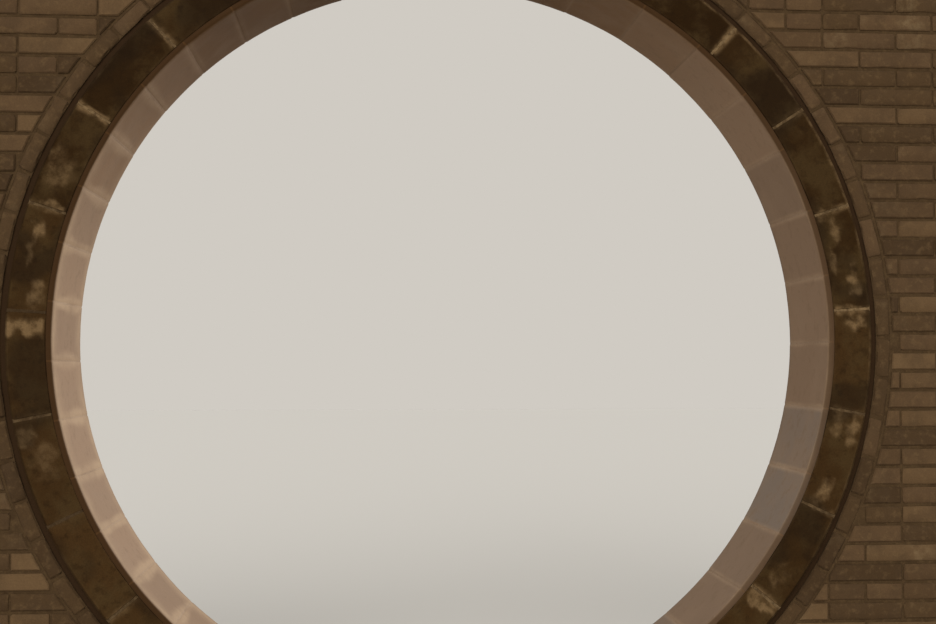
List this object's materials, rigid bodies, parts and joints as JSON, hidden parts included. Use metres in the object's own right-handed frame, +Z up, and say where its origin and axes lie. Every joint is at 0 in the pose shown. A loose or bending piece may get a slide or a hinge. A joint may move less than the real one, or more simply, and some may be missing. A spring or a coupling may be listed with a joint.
{
  "type": "moon gate",
  "caption": "Free-standing grey brick garden wall with a full round walk-through doorway, faced with a ring of wedge-shaped stones and topped by a tiled coping.",
  "frame": {"origin": "on the ground, at the foot of the wall, under the middle of the round doorway and midway between the wall's two faces", "axes": "+X along the wall to the right as seen from the front, +Y through the doorway from front to back, +Z up"},
  "size_m": [6, 0.794, 4.0244],
  "materials": {
    "grey_brick": "weathered grey-brown fired brick with dark recessed joints",
    "lime_mortar": "weathered lime mortar",
    "ring_stone": "dark weathered stone with worn pale arrises and lime stains",
    "lining_stone": "smooth worn stone slabs",
    "granite": "bush-hammered grey granite",
    "grey_tile": "unglazed grey fired clay tile"
  },
  "bodies": {
    "root": {"brick_wall_left": "grey_brick", "brick_wall_right": "grey_brick", "brick_band_over_gate": "grey_brick", "spandrel_upper_left": "grey_brick", "spandrel_upper_right": "grey_brick", "spandrel_lower_left": "grey_brick", "spandrel_lower_right": "grey_brick", "brick_ring": "grey_brick", "ring_backing": "lime_mortar", "ring_stones_front": "ring_stone", "ring_stones_back": "ring_stone", "lining_slabs": "lining_stone", "cradle_stone": "granite", "plinth_left": "granite", "plinth_right": "granite", "lower_corbel": "grey_brick", "sawtooth_course": "grey_brick", "upper_corbel": "grey_brick", "roof_bed": "lime_mortar", "barrel_tiles_front": "grey_tile", "barrel_tiles_back": "grey_tile", "pan_tiles_front": "grey_tile", "pan_tiles_back": "grey_tile", "ridge_wall": "grey_tile", "ridge_cap": "grey_tile"}
  },
  "joints": []
}
